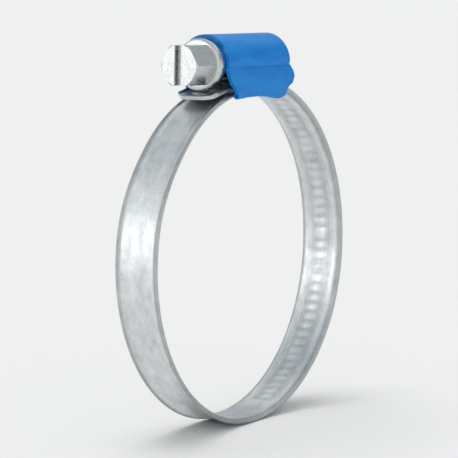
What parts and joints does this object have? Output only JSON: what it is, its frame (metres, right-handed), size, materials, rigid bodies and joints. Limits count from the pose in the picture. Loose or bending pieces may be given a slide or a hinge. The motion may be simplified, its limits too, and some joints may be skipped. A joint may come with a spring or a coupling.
{
  "type": "worm-drive hose clamp",
  "caption": "Worm-drive hose clamp: a steel band with rolled edges, a blue pressed housing and a hexagon-head screw whose thread pulls the band tight around a hose.",
  "frame": {"origin": "centre of the round hose seat, on the hose's axis and midway across the band's width", "axes": "+Y along the hose's axis; +Z from the hose's axis up through the housing; X along the worm screw, whose head is on the -X side"},
  "size_m": [0.063, 0.0106, 0.0714],
  "materials": {
    "blue_housing": "semi-gloss blue coating over stamped steel",
    "band_steel": "galvanised strip, satin",
    "zinc_screw": "bright zinc plating"
  },
  "bodies": {
    "clamp_root": {"housing": "blue_housing", "band_fixed_end": "band_steel"},
    "screw": {"worm_screw": "zinc_screw"},
    "tongue": {"band_tongue": "band_steel"},
    "link_01": {"band_link_01": "band_steel"},
    "link_02": {"band_link_02": "band_steel"},
    "link_03": {"band_link_03": "band_steel"},
    "link_04": {"band_link_04": "band_steel"},
    "link_05": {"band_link_05": "band_steel"},
    "link_06": {"band_link_06": "band_steel"},
    "link_07": {"band_link_07": "band_steel"},
    "link_08": {"band_link_08": "band_steel"},
    "link_09": {"band_link_09": "band_steel"},
    "link_10": {"band_link_10": "band_steel"},
    "link_11": {"band_link_11": "band_steel"},
    "link_12": {"band_link_12": "band_steel"}
  },
  "joints": [
    {"name": "screw_turn", "type": "hinge", "parent": "clamp_root", "child": "screw", "pos_m": [0, 0, 0.03465], "axis": [1, 0, 0], "range_deg": [0, 4320.01]},
    {"name": "band_feed", "type": "hinge", "parent": "clamp_root", "child": "tongue", "pos_m": [0, 0, 0.0009], "axis": [0, -1, 0], "range_deg": [0, 45]},
    {"name": "bend_01", "type": "hinge", "parent": "tongue", "child": "link_01", "pos_m": [0.02649, 0, 0.01498], "axis": [0, 1, 0], "range_deg": [0, 5.54]},
    {"name": "bend_02", "type": "hinge", "parent": "link_01", "child": "link_02", "pos_m": [0.03, 0, 0], "axis": [0, 1, 0], "range_deg": [0, 4.63]},
    {"name": "bend_03", "type": "hinge", "parent": "link_02", "child": "link_03", "pos_m": [0.02772, 0, -0.01148], "axis": [0, 1, 0], "range_deg": [0, 3.83]},
    {"name": "bend_04", "type": "hinge", "parent": "link_03", "child": "link_04", "pos_m": [0.02121, 0, -0.02121], "axis": [0, 1, 0], "range_deg": [0, 3.11]},
    {"name": "bend_05", "type": "hinge", "parent": "link_04", "child": "link_05", "pos_m": [0.01148, 0, -0.02772], "axis": [0, 1, 0], "range_deg": [0, 2.57]},
    {"name": "bend_06", "type": "hinge", "parent": "link_05", "child": "link_06", "pos_m": [0, 0, -0.03], "axis": [0, 1, 0], "range_deg": [0, 2.3]},
    {"name": "bend_07", "type": "hinge", "parent": "link_06", "child": "link_07", "pos_m": [-0.01148, 0, -0.02772], "axis": [0, 1, 0], "range_deg": [0, 2.33]},
    {"name": "bend_08", "type": "hinge", "parent": "link_07", "child": "link_08", "pos_m": [-0.02121, 0, -0.02121], "axis": [0, 1, 0], "range_deg": [0, 2.67]},
    {"name": "bend_09", "type": "hinge", "parent": "link_08", "child": "link_09", "pos_m": [-0.02772, 0, -0.01148], "axis": [0, 1, 0], "range_deg": [0, 3.25]},
    {"name": "bend_10", "type": "hinge", "parent": "link_09", "child": "link_10", "pos_m": [-0.03, 0, 0], "axis": [0, 1, 0], "range_deg": [0, 4]},
    {"name": "bend_11", "type": "hinge", "parent": "link_10", "child": "link_11", "pos_m": [-0.02649, 0, 0.01408], "axis": [0, 1, 0], "range_deg": [0, 4.98]},
    {"name": "bend_12", "type": "hinge", "parent": "link_11", "child": "link_12", "pos_m": [-0.01678, 0, 0.02487], "axis": [0, 1, 0], "range_deg": [0, 5.81]}
  ],
  "couplings": [
    {"joint": "screw_turn", "follows": "band_feed", "ratio": 96},
    {"joint": "bend_01", "follows": "band_feed", "ratio": 0.12303},
    {"joint": "bend_02", "follows": "band_feed", "ratio": 0.10283},
    {"joint": "bend_03", "follows": "band_feed", "ratio": 0.085162},
    {"joint": "bend_04", "follows": "band_feed", "ratio": 0.06912},
    {"joint": "bend_05", "follows": "band_feed", "ratio": 0.057139},
    {"joint": "bend_06", "follows": "band_feed", "ratio": 0.051043},
    {"joint": "bend_07", "follows": "band_feed", "ratio": 0.051773},
    {"joint": "bend_08", "follows": "band_feed", "ratio": 0.059203},
    {"joint": "bend_09", "follows": "band_feed", "ratio": 0.072211},
    {"joint": "bend_10", "follows": "band_feed", "ratio": 0.08881},
    {"joint": "bend_11", "follows": "band_feed", "ratio": 0.11065},
    {"joint": "bend_12", "follows": "band_feed", "ratio": 0.12902}
  ]
}
